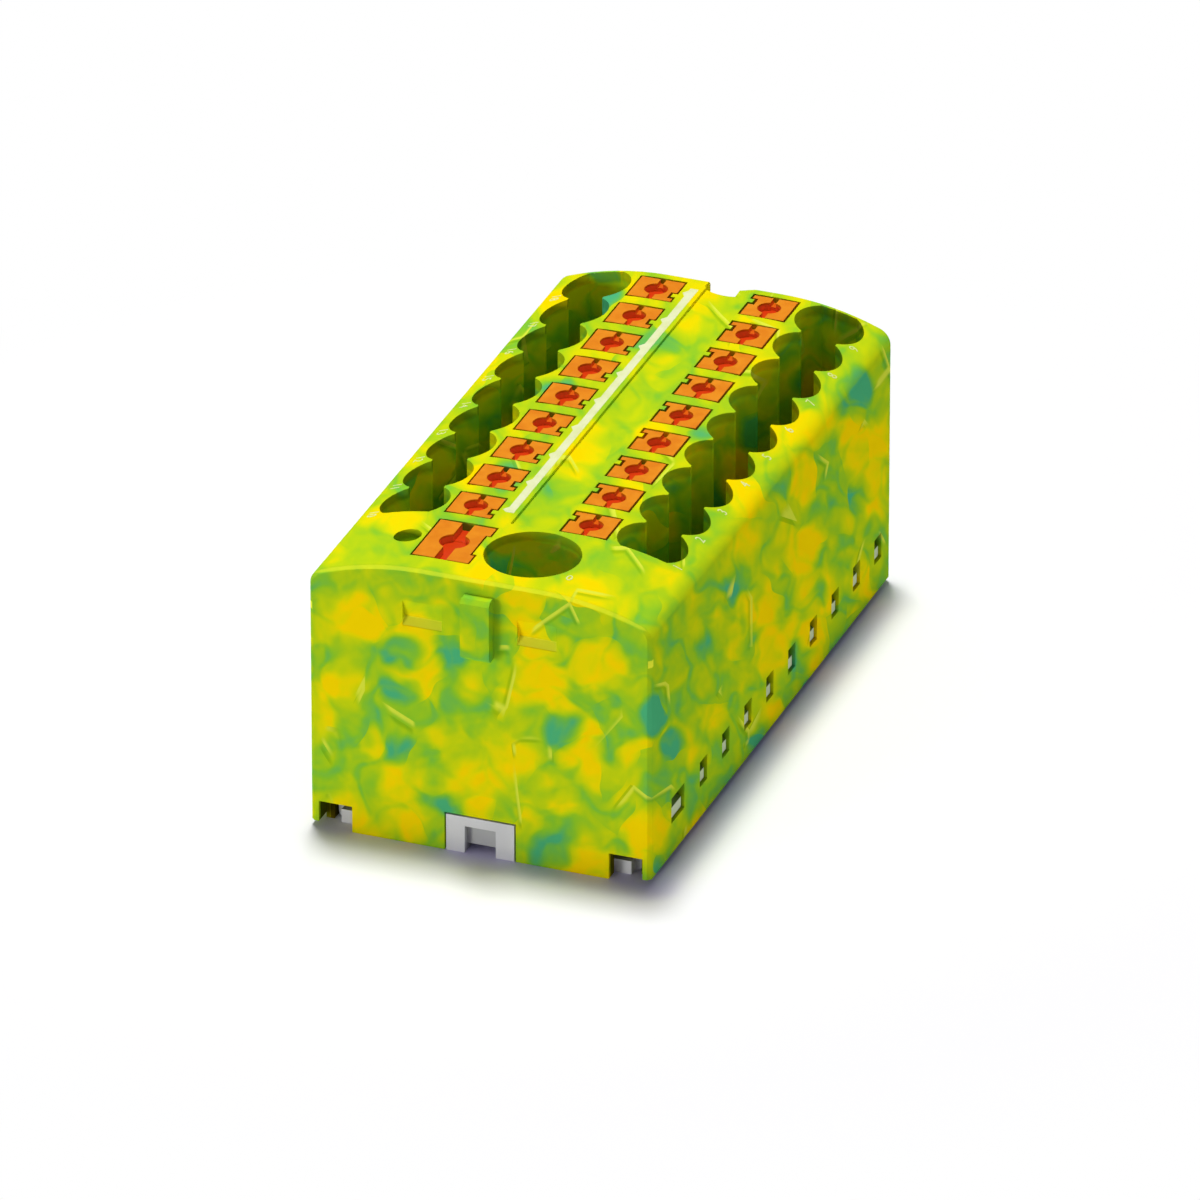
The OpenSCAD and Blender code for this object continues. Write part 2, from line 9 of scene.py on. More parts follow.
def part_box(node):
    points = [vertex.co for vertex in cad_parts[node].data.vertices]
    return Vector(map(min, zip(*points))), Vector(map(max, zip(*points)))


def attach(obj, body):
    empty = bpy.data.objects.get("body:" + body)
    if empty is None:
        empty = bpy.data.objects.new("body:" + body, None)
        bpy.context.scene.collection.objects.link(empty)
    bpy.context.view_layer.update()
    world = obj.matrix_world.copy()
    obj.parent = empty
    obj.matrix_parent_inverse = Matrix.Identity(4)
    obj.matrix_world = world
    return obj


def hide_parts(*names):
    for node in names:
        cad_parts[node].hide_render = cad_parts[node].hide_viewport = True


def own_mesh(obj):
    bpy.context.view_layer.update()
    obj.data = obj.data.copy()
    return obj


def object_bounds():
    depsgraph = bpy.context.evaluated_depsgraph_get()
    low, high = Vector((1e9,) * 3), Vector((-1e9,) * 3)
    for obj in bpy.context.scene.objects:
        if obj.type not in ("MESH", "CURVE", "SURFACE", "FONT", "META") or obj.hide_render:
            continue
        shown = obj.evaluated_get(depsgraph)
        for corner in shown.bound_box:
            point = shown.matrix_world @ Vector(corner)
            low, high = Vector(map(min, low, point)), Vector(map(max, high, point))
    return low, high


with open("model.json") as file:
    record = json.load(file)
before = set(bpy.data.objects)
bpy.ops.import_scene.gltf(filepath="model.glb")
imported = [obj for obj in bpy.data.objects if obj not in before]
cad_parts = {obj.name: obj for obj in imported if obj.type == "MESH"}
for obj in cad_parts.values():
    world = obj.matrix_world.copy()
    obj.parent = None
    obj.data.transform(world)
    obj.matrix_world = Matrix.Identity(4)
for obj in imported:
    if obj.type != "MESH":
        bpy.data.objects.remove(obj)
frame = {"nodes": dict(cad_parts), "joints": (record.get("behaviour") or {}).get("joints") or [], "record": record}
cad_low, cad_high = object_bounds()

# Lengths are in metres, as in the frame; MM turns a size in millimetres into them.
# A texture's scale is in features for each metre, and a colour of three whole numbers is in sRGB
MM = 0.001
WHITE = (1.0, 1.0, 1.0, 1.0)

# Camera that matches the photograph: a long lens from the front right, looking down
CAMERA_AZIMUTH = math.radians(20.723)
CAMERA_ELEVATION = math.radians(27.793)
CAMERA_DISTANCE = 1438.9 * MM
CAMERA_TARGET_Z = 12.5 * MM
CAMERA_SLIDE_RIGHT = -0.344 * MM
CAMERA_SLIDE_UP = -2.732 * MM
CAMERA_SENSOR = 36.0
CAMERA_LENS = 525.68

# Light: a dim cool surround, a soft box overhead and a low fill lamp for each face in view
AMBIENT = 0.16
AMBIENT_COLOUR = (0.96, 0.9, 1.25, 1.0)
KEY_AT = Vector((-0.06, 0.092, 0.8))
KEY_SIZE = (0.115, 0.19)
KEY_POWER = 6.3
FILL_SIZE = (0.3, 0.2)
FRONT_FILL_AT = Vector((-0.4, -0.75, 0.06))
FRONT_FILL_POWER = 3.1
RIGHT_FILL_AT = Vector((0.8, 0.3, 0.05))
RIGHT_FILL_POWER = 1.03

# Floor: a painted cool tint in the shadow, up to a gap from the block on that side; plain white further out
FLOOR_SIZE = 3.0
FLOOR_DROP = 0.02 * MM
FLOOR_TONE = (242, 242, 242)
FLOOR_SHADOW_TINT = (222, 218, 243)
FLOOR_COOL_GAP = (3.2 * MM, 0.6 * MM)
FLOOR_COOL_REAR = 0.75
FLOOR_WHITE = (50 * MM, 85 * MM)

# The crown's section, from the housing: flat in the middle, an arc on each shoulder
CROWN_FLAT = 5.0 * MM
CROWN_R = 24.5 * MM
CROWN_Z = cad_high.z
SIDE_X = cad_high.x
REAR_Y = cad_high.y
FRONT_Y = -REAR_Y

# The bevel along the crown's front edge and the ledges of the pry recesses in the front face: where they lie, and
# the tints with their shares: a painted highlight on the bevel and painted light on the ledges
EDGE_BEVEL = 0.3 * MM
BEVEL_HIGHLIGHT = (0.5, (222, 232, 50))
PRY_IN = (0.06 * MM, 0.6 * MM)
PRY_LEDGE_Z = (19.9 * MM, 20.5 * MM)
LEDGE_PAINTED_LIGHT = (0.85, (246, 248, 60))

# Openings in the top: how far they reach, without the joining slot, and the factors on the colour by depth in
# shares of the dark depth: painted light just below the rim and painted shade further down. The supply entry has
# more painted light below its rim
TOP_OPENINGS_X = 13.5 * MM
TOP_OPENINGS_Y = (-27.2 * MM, 28.1 * MM)
JOINING_SLOT = (2.0 * MM, 26.9 * MM)
DARK_DEPTH = 10 * MM
TOP_SHADE = (
    (0.07, (1.0, 1.0, 1.0)),
    (0.11, (1.5, 1.5, 1.5)),
    (0.25, (1.3, 1.35, 1.3)),
    (0.55, (0.85, 0.85, 0.75)),
    (1.0, (0.45, 0.38, 0.3)),
)
SUPPLY_REAR_Y = -18.5 * MM
SUPPLY_RIM = (0.07, 0.12)
SUPPLY_LIGHT = 1.45

# Latch windows in the sides: where they lie, and the factors of painted shade on the colour by how far in a point
# is
WINDOWS_Y = 27.2 * MM
WINDOWS_Z = (3.0 * MM, 6.0 * MM)
WINDOW_DARK_DEPTH = 0.9 * MM
WINDOW_SHADE = (
    (0.1, (1.0, 1.0, 1.0)),
    (0.8, (0.12, 0.24, 0.1)),
)

# The housing's underside within its outer edges, darkened as painted shade; then how softly the shaded places end,
# and the brightest that the shading leaves a colour
UNDERSIDE = (14.4 * MM, 28.1 * MM, 2.35 * MM)
UNDERSIDE_SHADE = 0.2
SHADE_BLUR = 0.3 * MM
BRIGHTEST = (0.95, 0.95, 0.95)

# Marbling: one texture in the block's own space, drawn out along one fixed direction. That is the
# photograph's line of sight, so that the patches look round on all three faces that it shows
FLOW_AT = (0.027, 0.072, -0.07)
FLOW_TURN = (math.radians(-28), 0.0, math.radians(21))
FLOW_STRETCH = (1.0, 2.8, 1.0)
BEND_SCALE = 300.0
BEND_REACH = 2.3 * MM
# The ground's clouds: the noise levels that become the ends of the hue scale
CLOUD_SCALE = 420.0
CLOUD_DETAIL = 2.5
CLOUD_LEVELS = (0.03, 1.02)
# Two sizes of yellow pellets and one of teal: scale, share of the cells that hold one, where its
# rim and its core lie in shares of a cell, and how far it moves the hue
PELLETS = (
    (215.0, 0.58, 0.64, 0.3, 0.44),
    (330.0, 0.44, 0.6, 0.22, 0.32),
    (240.0, 0.33, 0.5, 0.22, -0.58),
)
PELLET_BLUR = 0.1
# Greener strings between the pellets
VEIN_SCALE = 260.0
VEIN_WIDTH = 0.08
VEIN_GAIN = -0.17
# The hue scale, from teal by way of lime to yellow
HUES = (
    (0.0, (74, 175, 117)),
    (0.16, (104, 184, 76)),
    (0.34, (136, 195, 40)),
    (0.5, (172, 204, 24)),
    (0.64, (196, 211, 16)),
    (0.84, (230, 216, 6)),
    (1.0, (244, 212, 2)),
)
# On the crown the hues move a share of the way to lime, down to a depth
LIME_HUE = 0.64
LIME_SHARE = 0.25
LIME_DEPTH = (0.9 * MM, 0.6 * MM)
# Folds: which part of a cell's outline shows, in shares of a cell, and in how few cells
FOLD_SCALE = 250.0
FOLD_FROM = 0.28
FOLD_TO = 0.38
FOLD_REACH = (0.76, 0.68)
FOLD_RARITY = 0.5
FOLD_WIDTH = (0.075, 0.0225)
# How the cells lean, and each fold's light line and the darker one a step beside it: share and tint
FOLD_LEAN = (0.5, 0.3, 0.6)
FOLD_STRETCH = (1.0, 1.0, 0.7)
FOLD_STEP = (0.2 * MM, 0.2 * MM, 0.2 * MM)
FOLD_LIGHT = (0.85, (218, 228, 66))
FOLD_SHADE = (0.45, (96, 160, 10))

# Grain of the moulded surfaces: scale, strength and height
MOULD_GRAIN = (5200.0, 0.12, 0.01 * MM)
BASE_GRAIN = (4200.0, 0.15, 0.01 * MM)

# Buttons: orange, with painted shade as red by depth in the slot and pocket, and painted light as a lighter tone
# on upright walls
BUTTON_CLOUDS = 700.0
BUTTON_ORANGE = ((0.35, (214, 122, 12)), (0.65, (222, 136, 20)))
BUTTON_SHADE_RED = (200, 56, 12)
RED_DEPTH = (0.1 * MM, 0.6 * MM)
BUTTON_WALL_LIGHT = (250, 150, 64)
WALL_DEPTH = (0.12 * MM, 0.25 * MM)
UPRIGHT = 0.5

# Base cover: grey, with painted greenish shade on the latch noses and painted darker shade in the tabs' notches
# and on the noses' slopes
BASE_CLOUDS = 260.0
BASE_GREY = ((0.3, (206, 207, 206)), (0.7, (218, 218, 216)))
NOSE_X = 13.25 * MM
NOSE_PAINTED_SHADE = (196, 210, 168)
NOSE_SLOPE_Z = 4.36 * MM
NOSE_SLOPE_SHADE = (84, 110, 30)
TAB_NOTCH = (1.4 * MM, 28.0 * MM)
TAB_NOTCH_SHADE = (176, 177, 175)

# Metals: dark and light tone, and the least roughness; their streaks are drawn out along Y
TINNED_COPPER = ((176, 174, 168), (214, 212, 206), 0.28)
SPRING_STEEL = ((150, 152, 154), (196, 197, 198), 0.25)
STREAK_SCALE = 4200.0
STREAK_STRETCH = (1.0, 0.06, 1.0)
STREAK_ROUGHNESS = 0.15

# Pale print on the crown: tones where the ink is thin and full, and sizes
INK_CLOUDS = 900.0
LINE_INK = ((0.3, (208, 214, 150)), (0.6, (217, 222, 172)))
NUMBER_INK = ((0.3, (204, 216, 120)), (0.6, (214, 222, 156)))
PRINT_THICKNESS = 0.02 * MM
LINE_X = (-2.3 * MM, -1.6 * MM)
LINE_FRONT = 0.35 * MM
LINE_REAR = 0.95 * MM
LINE_BUTTONS = range(10, 19)
STUB_REACH = 0.36 * MM
STUB_LENGTH = 1.1 * MM
NUMBER_HEIGHT = 1.15 * MM
NUMBER_X = 13.25 * MM
NUMBER_AHEAD = 2.0 * MM
SUPPLY_NUMBER_AT = (6.6 * MM, -25.4 * MM)


def srgb(red, green, blue):
    """A colour given as 0 to 255 in sRGB, as the linear RGBA that a shader takes."""
    def linear(level):
        share = level / 255
        return share / 12.92 if share <= 0.04045 else ((share + 0.055) / 1.055) ** 2.4
    return (linear(red), linear(green), linear(blue), 1.0)


def tones(stops):
    """Ramp stops from sRGB colours."""
    return [(spot, srgb(*tone)) for spot, tone in stops]


def factors(stops):
    """Ramp stops from factors on red, green and blue."""
    return [(spot, (*factor, 1.0)) for spot, factor in stops]


def add(tree, kind, inputs=None, **settings):
    """Adds a node; an input is a value, or another node's output to link."""
    made = tree.nodes.new(kind)
    for name, value in settings.items():
        setattr(made, name, value)
    for key, value in (inputs or {}).items():
        if isinstance(value, bpy.types.NodeSocket):
            tree.links.new(value, made.inputs[key])
        else:
            made.inputs[key].default_value = value
    return made


def math_node(tree, operation, *values):
    """One arithmetic step; returns its output."""
    inputs = dict(enumerate(values))
    return add(tree, "ShaderNodeMath", inputs, operation=operation).outputs[0]


def times(tree, product, *others):
    """Several values multiplied."""
    for other in others:
        product = math_node(tree, "MULTIPLY", product, other)
    return product


def vector_node(tree, operation, *values):
    """One step on vectors; returns its output, which is a number for a length or a dot product."""
    made = add(tree, "ShaderNodeVectorMath", dict(enumerate(values)), operation=operation)
    return made.outputs["Value" if operation in ("LENGTH", "DOT_PRODUCT") else "Vector"]


def scaled(tree, vector, amount):
    """A vector or colour times a number."""
    inputs = {0: vector, "Scale": amount}
    return add(tree, "ShaderNodeVectorMath", inputs, operation="SCALE").outputs[0]


def split(tree, vector):
    """A vector's X, Y and Z."""
    return add(tree, "ShaderNodeSeparateXYZ", {0: vector}).outputs


def between(tree, value, low, high):
    """0 up to low, 1 from high, smooth in between."""
    inputs = {"Value": value, "From Min": low, "From Max": high}
    made = add(tree, "ShaderNodeMapRange", inputs, interpolation_type="SMOOTHSTEP")
    return made.outputs["Result"]


def inside(tree, value, low, high, soft):
    """1 between two levels, 0 outside them."""
    return times(tree, between(tree, value, low - soft, low), between(tree, value, high + soft, high))


def spread(tree, share, low, high):
    """A share from 0 to 1, as a number from low to high."""
    inputs = {"Value": share, "To Min": low, "To Max": high}
    return add(tree, "ShaderNodeMapRange", inputs).outputs[0]


def mix(tree, share, first, second):
    """Mixes two colours."""
    made = add(tree, "ShaderNodeMix", data_type="RGBA")
    for socket, value in ((made.inputs[0], share), (made.inputs[6], first), (made.inputs[7], second)):
        if isinstance(value, bpy.types.NodeSocket):
            tree.links.new(value, socket)
        else:
            socket.default_value = value
    return made.outputs[2]


def tinted(tree, colour, place_at, strength, tint):
    """Mixes a share of a tint into a colour at a place."""
    return mix(tree, times(tree, place_at, strength), colour, srgb(*tint))


def noise(tree, at, scale, detail=2.0):
    """Soft noise about 0.5, with features about 1 / scale metres across."""
    inputs = {"Vector": at, "Scale": scale, "Detail": detail, "Roughness": 0.5}
    return add(tree, "ShaderNodeTexNoise", inputs)


def ramp(tree, value, stops):
    """A colour ramp through (spot, colour) stops."""
    made = add(tree, "ShaderNodeValToRGB", {"Fac": value})
    elements = made.color_ramp.elements
    while len(elements) < len(stops):
        elements.new(1.0)
    for element, (spot, colour) in zip(elements, stops):
        element.position = spot
        element.color = colour
    return made.outputs["Color"]


def new_material(name):
    """An empty material: returns it with its tree, its shader and the object's coordinates."""
    material = bpy.data.materials.new(name)
    material.use_nodes = True
    tree = material.node_tree
    tree.nodes.clear()
    shader = add(tree, "ShaderNodeBsdfPrincipled")
    add(tree, "ShaderNodeOutputMaterial", {"Surface": shader.outputs["BSDF"]})
    at = add(tree, "ShaderNodeTexCoord").outputs["Object"]
    return material, tree, shader, at


def link(tree, shader, name, socket):
    """Links a node's output to the shader."""
    tree.links.new(socket, shader.inputs[name])


def fine_bump(tree, shader, at, scale, strength, height):
    """The fine grain of a moulded surface."""
    grain = noise(tree, at, scale, detail=3.0).outputs[0]
    inputs = {"Height": grain, "Strength": strength, "Distance": height}
    link(tree, shader, "Normal", add(tree, "ShaderNodeBump", inputs).outputs["Normal"])


def bend(tree, at):
    """Pushes coordinates about by soft noise."""
    swirl = noise(tree, at, BEND_SCALE, detail=1.0).outputs["Color"]
    centred = vector_node(tree, "SUBTRACT", swirl, (0.5, 0.5, 0.5))
    return vector_node(tree, "ADD", at, scaled(tree, centred, BEND_REACH))


def pellets(tree, at, scale, share, rim, core):
    """Round pellets in the melt: 1 in the middle of a share of the cells, 0 between them."""
    cells = add(tree, "ShaderNodeTexVoronoi", {"Vector": at, "Scale": scale}).outputs
    level = add(tree, "ShaderNodeSeparateColor", {0: cells["Color"]}).outputs[0]
    held = between(tree, level, 1 - PELLET_BLUR - share, 1 + PELLET_BLUR - share)
    return times(tree, held, between(tree, cells["Distance"], rim, core))


def veins(tree, at):
    """Fine winding strings of ground between the pellets."""
    swirl = noise(tree, at, VEIN_SCALE, detail=1.0).outputs[0]
    off = math_node(tree, "ABSOLUTE", math_node(tree, "SUBTRACT", swirl, 0.5))
    return between(tree, off, VEIN_WIDTH, 0.0)


def fold_lines(tree, at):
    """Short straight folds where two flows met: part of the outline of some cells."""
    inputs = {"Vector": at, "Scale": FOLD_SCALE}
    cells = add(tree, "ShaderNodeTexVoronoi", inputs).outputs
    rim = add(tree, "ShaderNodeTexVoronoi", inputs, feature="DISTANCE_TO_EDGE").outputs["Distance"]
    away = vector_node(tree, "SUBTRACT", at, cells["Position"])
    aim = vector_node(tree, "SUBTRACT", cells["Color"], (0.5, 0.5, 0.5))
    ahead = vector_node(tree, "DOT_PRODUCT", away, vector_node(tree, "NORMALIZE", aim))
    chosen = add(tree, "ShaderNodeSeparateColor", {0: cells["Color"]}).outputs[0]
    return times(
        tree,
        between(tree, ahead, FOLD_FROM / FOLD_SCALE, FOLD_TO / FOLD_SCALE),
        math_node(tree, "GREATER_THAN", chosen, FOLD_RARITY),
        between(tree, cells["Distance"], *FOLD_REACH),
        between(tree, rim, *FOLD_WIDTH),
    )


def placing(tree, at):
    """Distance from the middle plane, place along the block, height, and depth below the crown."""
    place_at = split(tree, at)
    across = math_node(tree, "ABSOLUTE", place_at["X"])
    past = math_node(tree, "MAXIMUM", math_node(tree, "SUBTRACT", across, CROWN_FLAT), 0.0)
    drop = math_node(tree, "DIVIDE", times(tree, past, past), 2 * CROWN_R)
    depth = math_node(tree, "SUBTRACT", math_node(tree, "SUBTRACT", CROWN_Z, drop), place_at["Z"])
    return across, place_at["Y"], place_at["Z"], depth


def edge_light(tree, at):
    """1 on the bevel along the crown's front edge, where a highlight is painted, and 1 on the ledges of the pry
    recesses, where light is painted.
    """
    _, along, height, depth = placing(tree, at)
    at_front = between(tree, along, FRONT_Y + EDGE_BEVEL, FRONT_Y + 0.7 * EDGE_BEVEL)
    bevel = times(tree, at_front, between(tree, depth, 1.2 * EDGE_BEVEL, 0.8 * EDGE_BEVEL))
    in_wall = inside(tree, along, FRONT_Y + PRY_IN[0], FRONT_Y + PRY_IN[1], PRY_IN[0] / 2)
    ledge = times(tree, in_wall, inside(tree, height, *PRY_LEDGE_Z, PRY_IN[0]))
    return bevel, ledge


def top_opening_shade(tree, across, along, depth):
    """Factor on the colour in the top's openings: painted light just below the rim, painted shade further down."""
    slot_x, slot_y = JOINING_SLOT
    in_slot = times(
        tree,
        math_node(tree, "LESS_THAN", across, slot_x),
        math_node(tree, "GREATER_THAN", along, slot_y),
    )
    deep = times(
        tree,
        between(tree, across, TOP_OPENINGS_X + SHADE_BLUR, TOP_OPENINGS_X),
        inside(tree, along, *TOP_OPENINGS_Y, SHADE_BLUR),
        math_node(tree, "SUBTRACT", 1.0, in_slot),
        math_node(tree, "DIVIDE", depth, DARK_DEPTH),
    )
    # Painted extra light below the supply entry's rim
    ahead = math_node(tree, "LESS_THAN", along, SUPPLY_REAR_Y)
    at_supply = times(tree, ahead, between(tree, deep, *SUPPLY_RIM))
    shade = ramp(tree, deep, factors(TOP_SHADE))
    return scaled(tree, shade, spread(tree, at_supply, 1.0, SUPPLY_LIGHT))


def window_shade(tree, across, along, height):
    """Factor on the colour that falls with depth in the latch windows: painted shade."""
    depth = math_node(tree, "SUBTRACT", SIDE_X, across)
    deep = times(
        tree,
        inside(tree, height, *WINDOWS_Z, SHADE_BLUR),
        inside(tree, along, -WINDOWS_Y, WINDOWS_Y, SHADE_BLUR),
        math_node(tree, "DIVIDE", depth, WINDOW_DARK_DEPTH),
    )
    return ramp(tree, deep, factors(WINDOW_SHADE))


def recess_shade(tree, at):
    """Factor on the colour for painted light and shade in the openings of the top, the latch windows and the
    underside.
    """
    across, along, height, depth = placing(tree, at)
    top = top_opening_shade(tree, across, along, depth)
    both = vector_node(tree, "MULTIPLY", top, window_shade(tree, across, along, height))
    # The underside: darkened as painted shade
    reach_x, reach_y, reach_z = UNDERSIDE
    under = times(
        tree,
        math_node(tree, "LESS_THAN", across, reach_x),
        math_node(tree, "LESS_THAN", math_node(tree, "ABSOLUTE", along), reach_y),
        math_node(tree, "LESS_THAN", height, reach_z),
    )
    return scaled(tree, both, spread(tree, under, 1.0, UNDERSIDE_SHADE))


def marble_hue(tree, at, drawn):
    """Place on the hue scale: clouds, pellets and strings, and nearer to lime on the crown."""
    flow = bend(tree, drawn)
    cloud = noise(tree, flow, CLOUD_SCALE, CLOUD_DETAIL).outputs[0]
    low, high = CLOUD_LEVELS
    inputs = {"Value": cloud, "From Min": low, "From Max": high}
    hue = add(tree, "ShaderNodeMapRange", inputs).outputs[0]
    for *pellet, gain in PELLETS:
        hue = math_node(tree, "MULTIPLY_ADD", pellets(tree, flow, *pellet), gain, hue)
    hue = math_node(tree, "MULTIPLY_ADD", veins(tree, flow), VEIN_GAIN, hue)
    _, along, _, depth = placing(tree, at)
    behind_front = between(tree, along, FRONT_Y, FRONT_Y + EDGE_BEVEL)
    share = times(tree, between(tree, depth, *LIME_DEPTH), behind_front, LIME_SHARE)
    return math_node(tree, "MULTIPLY_ADD", math_node(tree, "SUBTRACT", LIME_HUE, hue), share, hue)


def folded(tree, drawn, colour):
    """Adds the folds to a colour, each a light line with a darker one beside it."""
    inputs = {"Vector": drawn, "Rotation": FOLD_LEAN, "Scale": FOLD_STRETCH}
    leaning = add(tree, "ShaderNodeMapping", inputs).outputs[0]
    beside = add(tree, "ShaderNodeMapping", {"Vector": leaning, "Location": FOLD_STEP}).outputs[0]
    colour = tinted(tree, colour, fold_lines(tree, beside), *FOLD_SHADE)
    return tinted(tree, colour, fold_lines(tree, leaning), *FOLD_LIGHT)


def marbled_plastic():
    """Yellow and teal pellets in a lime green ground, with short folds, a painted highlight on the front bevel,
    painted light on the pry ledges, and painted light and shade in the top's openings, the latch windows and the
    underside.
    """
    material, tree, shader, at = new_material("marbled_plastic")
    inputs = {"Vector": at, "Location": FLOW_AT, "Rotation": FLOW_TURN, "Scale": FLOW_STRETCH}
    drawn = add(tree, "ShaderNodeMapping", inputs, vector_type="TEXTURE").outputs[0]
    colour = ramp(tree, marble_hue(tree, at, drawn), tones(HUES))
    colour = folded(tree, drawn, colour)
    bevel, ledge = edge_light(tree, at)
    # Painted highlight on the front bevel and painted light on the pry ledges
    colour = tinted(tree, colour, bevel, *BEVEL_HIGHLIGHT)
    colour = tinted(tree, colour, ledge, *LEDGE_PAINTED_LIGHT)
    # Painted light and shade in the top's openings, the latch windows and the underside
    shaded = vector_node(tree, "MULTIPLY", colour, recess_shade(tree, at))
    link(tree, shader, "Base Color", vector_node(tree, "MINIMUM", shaded, BRIGHTEST))
    shader.inputs["Roughness"].default_value = 0.5
    shader.inputs["Specular IOR Level"].default_value = 0.0
    fine_bump(tree, shader, at, *MOULD_GRAIN)
    return material


def button_plastic(top_z):
    """Orange, with painted shade that makes it redder inside the screwdriver slot and pocket, and painted light on
    upright walls.
    """
    material, tree, shader, at = new_material("button_plastic")
    depth = math_node(tree, "SUBTRACT", top_z, split(tree, at)["Z"])
    facing = split(tree, add(tree, "ShaderNodeNewGeometry").outputs["Normal"])["Z"]
    upright = math_node(tree, "LESS_THAN", math_node(tree, "ABSOLUTE", facing), UPRIGHT)
    wall = times(tree, upright, between(tree, depth, *WALL_DEPTH))
    tone = ramp(tree, noise(tree, at, BUTTON_CLOUDS).outputs[0], tones(BUTTON_ORANGE))
    # Painted shade: redder with depth in the slot and pocket
    tone = mix(tree, between(tree, depth, *RED_DEPTH), tone, srgb(*BUTTON_SHADE_RED))
    # Painted light: a lighter tone on the upright walls
    link(tree, shader, "Base Color", mix(tree, wall, tone, srgb(*BUTTON_WALL_LIGHT)))
    shader.inputs["Roughness"].default_value = 0.45
    shader.inputs["Specular IOR Level"].default_value = 0.04
    fine_bump(tree, shader, at, *MOULD_GRAIN)
    return material


def base_plastic():
    """Light grey moulding with a faint cloudiness; painted greenish shade on its noses, and painted shade on the
    noses' slopes and in the tabs' notches.
    """
    material, tree, shader, at = new_material("base_plastic")
    place_at = split(tree, at)
    across = math_node(tree, "ABSOLUTE", place_at["X"])
    along = math_node(tree, "ABSOLUTE", place_at["Y"])
    nose = math_node(tree, "GREATER_THAN", across, NOSE_X)
    slope = times(tree, nose, math_node(tree, "GREATER_THAN", place_at["Z"], NOSE_SLOPE_Z))
    reach_x, reach_y = TAB_NOTCH
    notch = times(
        tree,
        math_node(tree, "LESS_THAN", across, reach_x),
        math_node(tree, "LESS_THAN", along, reach_y),
    )
    tone = ramp(tree, noise(tree, at, BASE_CLOUDS, detail=3.0).outputs[0], tones(BASE_GREY))
    # Painted greenish shade on the latch noses
    tone = mix(tree, nose, tone, srgb(*NOSE_PAINTED_SHADE))
    # Painted shade in the tabs' notches
    tone = mix(tree, notch, tone, srgb(*TAB_NOTCH_SHADE))
    # Painted shade on the noses' slopes
    link(tree, shader, "Base Color", mix(tree, slope, tone, srgb(*NOSE_SLOPE_SHADE)))
    shader.inputs["Roughness"].default_value = 0.5
    shader.inputs["Specular IOR Level"].default_value = 0.2
    fine_bump(tree, shader, at, *BASE_GRAIN)
    return material


def metal(name, dark, light, roughness):
    """Sheet metal with drawn streaks along Y."""
    material, tree, shader, at = new_material(name)
    stretched = add(tree, "ShaderNodeMapping", {"Vector": at, "Scale": STREAK_STRETCH}).outputs[0]
    streaks = noise(tree, stretched, STREAK_SCALE, detail=3.0).outputs[0]
    link(tree, shader, "Base Color", ramp(tree, streaks, tones(((0.3, dark), (0.7, light)))))
    shader.inputs["Metallic"].default_value = 1.0
    rough = spread(tree, streaks, roughness, roughness + STREAK_ROUGHNESS)
    link(tree, shader, "Roughness", rough)
    return material


def print_ink(name, ink):
    """Ink that covers a little unevenly."""
    material, tree, shader, at = new_material(name)
    cover = noise(tree, at, INK_CLOUDS, detail=3.0).outputs[0]
    link(tree, shader, "Base Color", ramp(tree, cover, tones(ink)))
    shader.inputs["Roughness"].default_value = 0.6
    return material


def background_rays(tree):
    """1 for rays that see the background: from the camera, or by way of gloss or glass."""
    path = add(tree, "ShaderNodeLightPath").outputs
    seen = math_node(tree, "MAXIMUM", path["Is Camera Ray"], path["Is Glossy Ray"])
    return math_node(tree, "MAXIMUM", seen, path["Is Transmission Ray"])


def floor_material():
    """A matt white floor that keeps the shadow, with a painted cooler tint in the shadow close to the block, whose
    own colour would tint the shadow, and plain white further out."""
    material, tree, shader, at = new_material("floor")
    beyond = vector_node(tree, "SUBTRACT", vector_node(tree, "ABSOLUTE", at), (SIDE_X, REAR_Y, 0.0))
    gap = vector_node(tree, "LENGTH", vector_node(tree, "MAXIMUM", beyond, (0.0, 0.0, 0.0)))
    place_at = split(tree, at)
    # Where the block's shadow falls close to it: a painted cooler tint
    shaded = times(
        tree,
        between(tree, gap, *FLOOR_COOL_GAP),
        between(tree, place_at["X"], -SIDE_X, 0.0),
        between(tree, place_at["Y"], REAR_Y, FLOOR_COOL_REAR * REAR_Y),
    )
    tone = mix(tree, shaded, srgb(*FLOOR_TONE), srgb(*FLOOR_SHADOW_TINT))
    link(tree, shader, "Base Color", tone)
    shader.inputs["Roughness"].default_value = 1.0
    shader.inputs["Specular IOR Level"].default_value = 0.0
    far = between(tree, vector_node(tree, "LENGTH", at), *FLOOR_WHITE)
    share = times(tree, far, background_rays(tree))
    plain = add(tree, "ShaderNodeEmission", {"Color": WHITE, "Strength": 1.0})
    mixed = add(tree, "ShaderNodeMixShader", {0: share, 1: shader.outputs[0], 2: plain.outputs[0]})
    output = tree.nodes["Material Output"]
    tree.links.new(mixed.outputs[0], output.inputs["Surface"])
    return material


def make_world():
    """A dim surround that lights the block, seen as plain white."""
    world = bpy.data.worlds.new("surround")
    world.use_nodes = True
    tree = world.node_tree
    tree.nodes.clear()
    light = add(tree, "ShaderNodeBackground", {"Color": AMBIENT_COLOUR, "Strength": AMBIENT})
    seen = add(tree, "ShaderNodeBackground", {"Color": WHITE, "Strength": 1.0})
    both = {0: background_rays(tree), 1: light.outputs[0], 2: seen.outputs[0]}
    mixed = add(tree, "ShaderNodeMixShader", both)
    add(tree, "ShaderNodeOutputWorld", {"Surface": mixed.outputs[0]})
    bpy.context.scene.world = world


def place(name, data):
    """Links a new object to the scene."""
    made = bpy.data.objects.new(name, data)
    bpy.context.scene.collection.objects.link(made)
    return made


